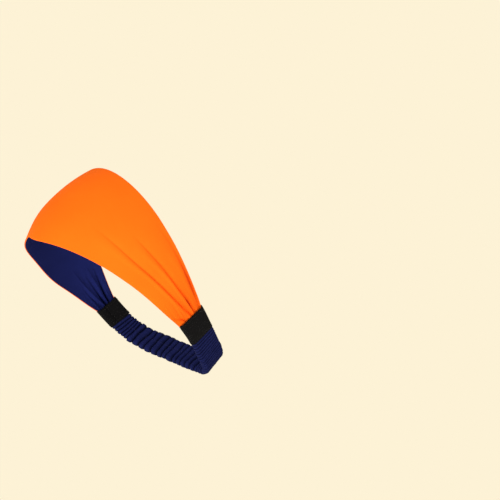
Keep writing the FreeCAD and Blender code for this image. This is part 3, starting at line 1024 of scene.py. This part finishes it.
def makeRuchTree():
    tree, source, result = newGroup("ruches", "GeometryNodeTree", {
        "Tube": "Geometry", "Pleat Depth": 0.0015, "Sharpness": 3.0, "Lean": 1.3, "Slant": 0.2,
        "Wobble": 0.5, "Seed": 5.0, "Cloth": "Material",
    }, {"Sleeve": "Geometry"})
    given = source.outputs
    phase, rim, swell = [readAttribute(tree, name, place) for name, place in
                         (("pleatPhase", (-6, 2)), ("rim", (-6, 3)), ("swell", (-6, 5)))]
    position = addNode(tree, "GeometryNodeInputPosition", (-6, 4)).outputs[0]
    turned = mathNode(tree, "MULTIPLY", (-5, 5), splitVector(tree, (-5, 4), position)[2], 85.0)
    slope = mathNode(tree, "MULTIPLY", (-4, 4), turned, given["Slant"])
    noise = noiseNode(tree, (-5, 6), position, 90.0, 1.0, noise_dimensions="4D")
    feed(tree, noise.inputs["W"], given["Seed"])
    uneven = mathNode(tree, "SUBTRACT", (-4, 6), noise.outputs["Fac"], 0.5)
    drift = mathNode(tree, "MULTIPLY", (-3, 6), uneven, given["Wobble"])
    moved = mathNode(tree, "ADD", (-2, 3), mathNode(tree, "ADD", (-3, 3), phase, slope), drift)
    saw = mathNode(tree, "FRACT", (-1, 3), moved)
    number = mathNode(tree, "FLOOR", (-1, 5), moved)
    leaning = mathNode(tree, "POWER", (0, 3), saw, given["Lean"])
    away = mathNode(tree, "PINGPONG", (1, 3), leaning, 0.5)
    fromTop = mathNode(tree, "SUBTRACT", (2, 3), 1.0, mathNode(tree, "MULTIPLY", (2, 4), away, 2.0))
    dip = mathNode(tree, "POWER", (3, 4), fromTop, given["Sharpness"])
    top = mathNode(tree, "SUBTRACT", (3, 3), 1.0, dip)
    white = addNode(tree, "ShaderNodeTexWhiteNoise", (0, 6), noise_dimensions="2D")
    key = addNode(tree, "ShaderNodeCombineXYZ", (-1, 6))
    feed(tree, key.inputs[0], number)
    feed(tree, key.inputs[1], given["Seed"])
    feed(tree, white.inputs["Vector"], key.outputs[0])
    fullness = mathNode(tree, "MULTIPLY_ADD", (1, 6), white.outputs["Value"], 0.4, 0.75)
    ripple = noiseNode(tree, (0, 8), position, 330.0).outputs["Fac"]
    creping = mathNode(tree, "MULTIPLY", (1, 8), mathNode(tree, "SUBTRACT", (1, 9), ripple, 0.5), 0.35)
    flatter = mathNode(tree, "MULTIPLY_ADD", (2, 6), rim, -0.3, 1.0)
    bulge = mathNode(tree, "MULTIPLY", (3, 6), flatter, swell)
    lift = mathNode(tree, "MULTIPLY", (4, 4), mathNode(tree, "MULTIPLY", (4, 5), top, fullness), bulge)
    raised = mathNode(tree, "ADD", (4, 6), lift, creping)
    total = mathNode(tree, "MULTIPLY", (5, 4), raised, given["Pleat Depth"])
    normal = addNode(tree, "GeometryNodeInputNormal", (4, 8))
    scaled = addNode(tree, "ShaderNodeVectorMath", (5, 7), operation="SCALE")
    feed(tree, scaled.inputs[0], normal.outputs[0])
    feed(tree, scaled.inputs["Scale"], total)
    move = addNode(tree, "GeometryNodeSetPosition", (6, 1))
    feed(tree, move.inputs["Geometry"], given["Tube"])
    feed(tree, move.inputs["Offset"], scaled.outputs[0])
    # painted shade: the valleys between the pleats are darkened, stored per vertex for the sleeve's colour
    shade = addNode(tree, "GeometryNodeStoreNamedAttribute", (6, 3), data_type="FLOAT", domain="POINT")
    feed(tree, shade.inputs["Geometry"], move.outputs[0])
    shade.inputs["Name"].default_value = "paintedShade"
    value = [socket for socket in shade.inputs if socket.enabled and socket.name == "Value"][0]
    feed(tree, value, mathNode(tree, "POWER", (5, 5), fromTop, 3.2))
    real = addNode(tree, "GeometryNodeRealizeInstances", (6, -1))
    feed(tree, real.inputs[0], shade.outputs[0])
    finish = addNode(tree, "GeometryNodeSetMaterial", (7, 0))
    feed(tree, finish.inputs["Geometry"], real.outputs[0])
    feed(tree, finish.inputs["Material"], given["Cloth"])
    feed(tree, result.inputs[0], finish.outputs[0])
    return tree


def makeSleeve():
    tube, rows = makeTube()
    sleeve = runNodes("ruchedSleeve", tube, makeRuchTree(), {
        "Pleat Depth": sleeveSizes["pleatDepth"], "Sharpness": sleeveSizes["pleatSharpness"],
        "Lean": sleeveSizes["pleatLean"], "Slant": sleeveSizes["slant"], "Wobble": sleeveSizes["wobble"],
        "Seed": float(sleeveSizes["seed"]), "Cloth": materials["navySleeve"],
    })
    around = sleeveSizes["around"]
    closing = [sleeve.data.vertices[i * around].co.copy() for i in range(rows)]
    beside = [sleeve.data.vertices[i * around + around - 1].co.copy() for i in range(rows)]
    middle = [(a + b) / 2 for a, b in zip(closing, beside)]
    wall = sleeve.modifiers.new("wall", "SOLIDIFY")
    wall.thickness = sleeveSizes["wall"]
    wall.offset = -1.0
    wall.use_rim = True
    mesh = plainMesh(sleeve)
    sleeve.modifiers.clear()
    sleeve.data = mesh
    return sleeve, middle


ruchedSleeve, closingLine = makeSleeve()
sleeveStitches = stitchPiece("sleeveStitches", [closingLine[4:-4]], "sleeve", "navyThread", 41)
print("headband: elastic and sleeve made")

# bodies and what each piece stands for


def joinFrame(piece, node, moving=False):
    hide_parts(node)
    if moving:
        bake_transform(piece)
    else:
        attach(piece, "front")


joinFrame(outerFabric, "outer_panel")
joinFrame(innerLining, "inner_lining")
joinFrame(upperEdgeStitches, "upper_edge_seam")
joinFrame(lowerEdgeStitches, "lower_edge_seam")
joinFrame(rightTab, "right_end_tab")
joinFrame(leftTab, "left_end_tab")
joinFrame(tabStitches["rightTabFrontStitches"], "right_tab_front_stitches")
joinFrame(tabStitches["rightTabRearStitches"], "right_tab_rear_stitches")
joinFrame(tabStitches["leftTabFrontStitches"], "left_tab_front_stitches")
joinFrame(tabStitches["leftTabRearStitches"], "left_tab_rear_stitches")
joinFrame(elasticTape, "elastic_core", moving=True)
joinFrame(ruchedSleeve, "ruched_sleeve", moving=True)
joinFrame(sleeveStitches, "sleeve_seam", moving=True)

# floor, light and camera

stageSizes = {
    "floorHeight": -1.1,
    "floorRadius": 3.0,
    "floorFlat": 0.6,                 # share of the radius that is flat
    "floorRise": 1.2,                 # the rim of the floor curves up as a backdrop
    "floorColor": (0.96, 0.96, 0.95, 1),
    "floorGlow": 0.26,                # keeps the floor as pale as the backdrop
    "worldColor": (0.983, 0.888, 0.672, 1),
    "worldStrength": 0.69,             # what lights the object; the camera sees the backdrop at 1
}


def makeFloor():
    vertices, faces = [Vector((0, 0, stageSizes["floorHeight"]))], []
    rings, spokes = 24, 96
    flatShare = stageSizes["floorFlat"]
    for i in range(1, rings + 1):
        t = i / rings
        radius = stageSizes["floorRadius"] * t
        rise = max(0.0, (t - flatShare) / (1 - flatShare)) ** 2.2
        height = stageSizes["floorHeight"] + stageSizes["floorRise"] * rise
        for j in range(spokes):
            a = 2 * math.pi * j / spokes
            vertices.append(Vector((radius * math.cos(a), radius * math.sin(a), height)))
    for j in range(spokes):
        faces.append((0, 1 + j, 1 + (j + 1) % spokes))
    for i in range(rings - 1):
        for j in range(spokes):
            a, b = 1 + i * spokes + j, 1 + i * spokes + (j + 1) % spokes
            faces.append((a, a + spokes, b + spokes, b))
    material, tree, shader = newMaterial("paleFloor", 0.0, (1, 1, 1, 1))
    place = addNode(tree, "ShaderNodeTexCoord", (-4, 0))
    cloud = noiseNode(tree, (-3, 0), place.outputs["Object"], 1.5)
    ramp = addNode(tree, "ShaderNodeMapRange", (-1, 0))
    ramp.inputs["To Min"].default_value = 0.8
    ramp.inputs["To Max"].default_value = 0.9
    tree.links.new(cloud.outputs["Fac"], ramp.inputs["Value"])
    tree.links.new(ramp.outputs[0], shader.inputs["Roughness"])
    shader.inputs["Base Color"].default_value = stageSizes["floorColor"]
    shader.inputs["Emission Color"].default_value = stageSizes["worldColor"]
    shader.inputs["Emission Strength"].default_value = stageSizes["floorGlow"]
    newPiece("floor", vertices, faces, material)


makeFloor()

cameraSizes = {
    "aim": (0.06810, 0.03647, 0.08948),
    "distance": 1.41196,
    "azimuth": 59.778,
    "elevation": -24.344,
    "roll": 39.852,
    "lens": 107.76,
}


def viewAxes(azimuth, elevation, roll):
    a, e, r = math.radians(azimuth), math.radians(elevation), math.radians(roll)
    back = Vector((math.sin(a) * math.cos(e), -math.cos(a) * math.cos(e), math.sin(e)))
    right = Vector((0, 0, 1)).cross(back).normalized()
    up = back.cross(right)
    turnedRight = right * math.cos(r) + up * math.sin(r)
    turnedUp = up * math.cos(r) - right * math.sin(r)
    return turnedRight, turnedUp, back


def placeAt(thing, position, right, up, back):
    thing.matrix_world = Matrix((
        (right.x, up.x, back.x, position.x),
        (right.y, up.y, back.y, position.y),
        (right.z, up.z, back.z, position.z),
        (0, 0, 0, 1),
    ))


right, up, back = viewAxes(cameraSizes["azimuth"], cameraSizes["elevation"], cameraSizes["roll"])
aim = Vector(cameraSizes["aim"])
camera = bpy.data.objects.new("camera", bpy.data.cameras.new("camera"))
bpy.context.collection.objects.link(camera)
camera.data.sensor_width = 36.0
camera.data.lens = cameraSizes["lens"]
camera.data.clip_start = 0.05
camera.data.clip_end = 30.0
placeAt(camera, aim + back * cameraSizes["distance"], right, up, back)
bpy.context.scene.camera = camera

# lights: direction from the object in the camera's own axes (right, up, toward), size and power
lightSizes = {
    "key": {"toward": (-0.6, -0.35, 1.0), "distance": 1.2, "size": 0.6, "power": 8.8,
            "color": (1.0, 0.98, 0.95)},
    "fill": {"toward": (0.9, 0.1, 1.0), "distance": 1.4, "size": 1.2, "power": 7.4,
             "color": (1.0, 0.97, 0.93)},
    "top": {"toward": (0.3, 1.0, -0.8), "distance": 1.5, "size": 1.4, "power": 4.0,
            "color": (1.0, 0.98, 0.95)},
}


def makeLight(name):
    look = lightSizes[name]
    x, y, z = look["toward"]
    direction = (right * x + up * y + back * z).normalized()
    data = bpy.data.lights.new(name, "AREA")
    data.shape = "DISK"
    data.size = look["size"]
    data.energy = look["power"]
    data.color = look["color"]
    lamp = bpy.data.objects.new(name, data)
    bpy.context.collection.objects.link(lamp)
    side = Vector((0, 0, 1)).cross(direction).normalized()
    placeAt(lamp, direction * look["distance"], side, direction.cross(side), direction)
    lamp.visible_camera = False


for name in lightSizes:
    makeLight(name)

world = bpy.data.worlds.new("studio")
bpy.context.scene.world = world
world.use_nodes = True
worldTree = world.node_tree
background = worldTree.nodes["Background"]
background.inputs["Color"].default_value = stageSizes["worldColor"]
seen = addNode(worldTree, "ShaderNodeLightPath", (-2, 0)).outputs["Is Camera Ray"]
strength = stageSizes["worldStrength"]
bright = mathNode(worldTree, "MULTIPLY_ADD", (-1, 0), seen, 1.0 - strength, strength)
feed(worldTree, background.inputs["Strength"], bright)
bpy.context.scene.view_settings.view_transform = "Standard"
print("headband: stage, lights and camera made")
